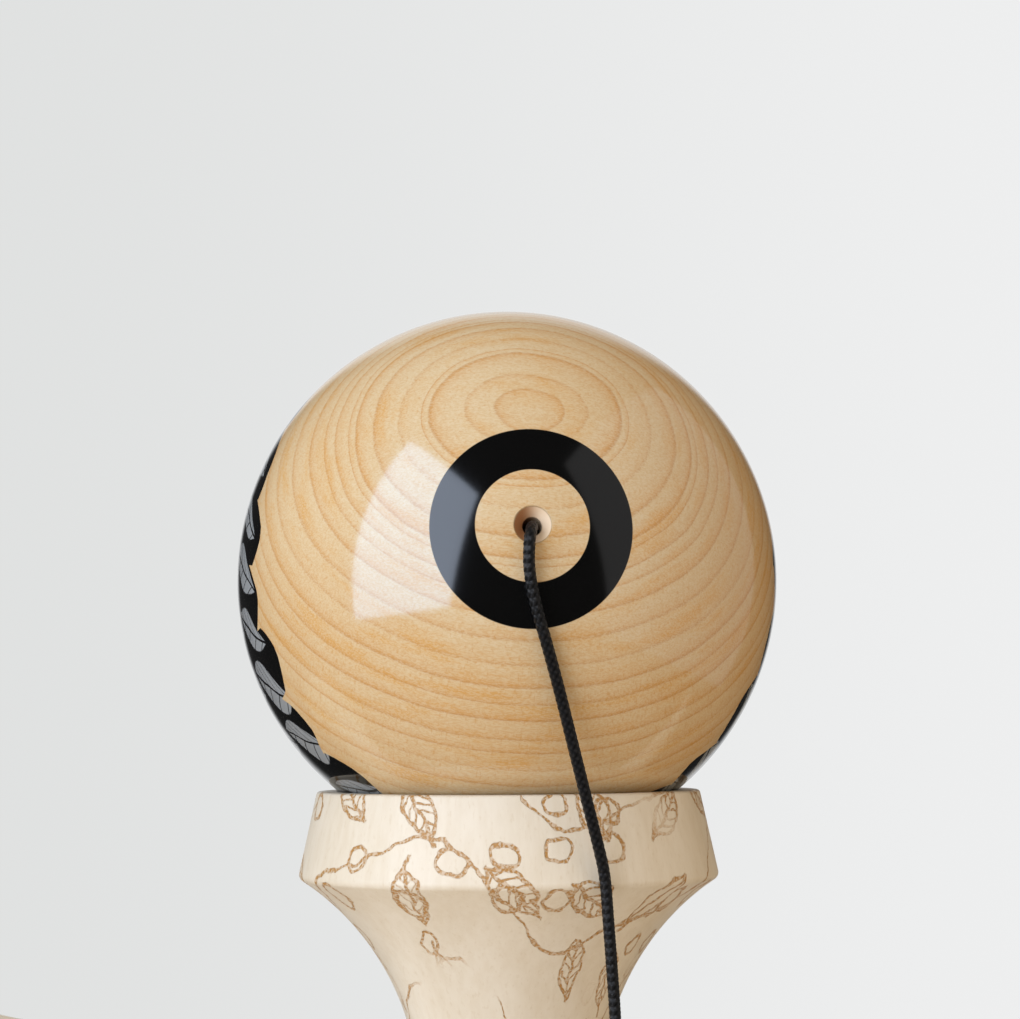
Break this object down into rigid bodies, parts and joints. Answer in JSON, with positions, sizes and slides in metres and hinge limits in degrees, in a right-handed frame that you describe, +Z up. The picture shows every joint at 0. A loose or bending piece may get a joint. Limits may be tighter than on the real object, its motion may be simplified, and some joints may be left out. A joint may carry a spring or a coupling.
{
  "type": "kendama",
  "caption": "Wooden kendama standing on its small cup: a turned cross piece with a stick and spike through it, and a lacquered ball on the big cup, tied with a black braided cord.",
  "frame": {"origin": "centre of the small cup's rim, on the surface that the toy stands on", "axes": "+Z up along the cross piece towards the big cup and the ball, +X along the stick towards its spike, -Y the side that the ball's string hole faces"},
  "size_m": [0.1706, 0.061, 0.1214],
  "materials": {
    "plain_maple": "sanded, unvarnished",
    "lacquered_maple": "clear gloss lacquer",
    "bead_wood": "satin",
    "black_cord": "braided, slightly shiny"
  },
  "bodies": {
    "sarado": {"sarado": "plain_maple", "string": "black_cord", "string_coil": "black_cord", "string_return": "black_cord", "ken_knot": "black_cord"},
    "ken": {"ken": "plain_maple"},
    "string_bead": {"bead": "bead_wood", "bead_knot": "black_cord", "string_inner": "black_cord"},
    "tama": {"tama": "lacquered_maple"}
  },
  "joints": [
    {"name": "ken_pull", "type": "slide", "parent": "sarado", "child": "ken", "axis": [-1, 0, 0], "range_m": [0, 0.105], "deforming": ["ken_knot"]},
    {"name": "tama_lift", "type": "slide", "parent": "sarado", "child": "string_bead", "axis": [0, 0, 1], "range_m": [0, 0.3], "deforming": ["string"]},
    {"name": "tama_spin", "type": "hinge", "parent": "string_bead", "child": "tama", "pos_m": [0, 0, 0.09144], "axis": [0.0882, -0.988, 0.1271], "continuous": true}
  ]
}
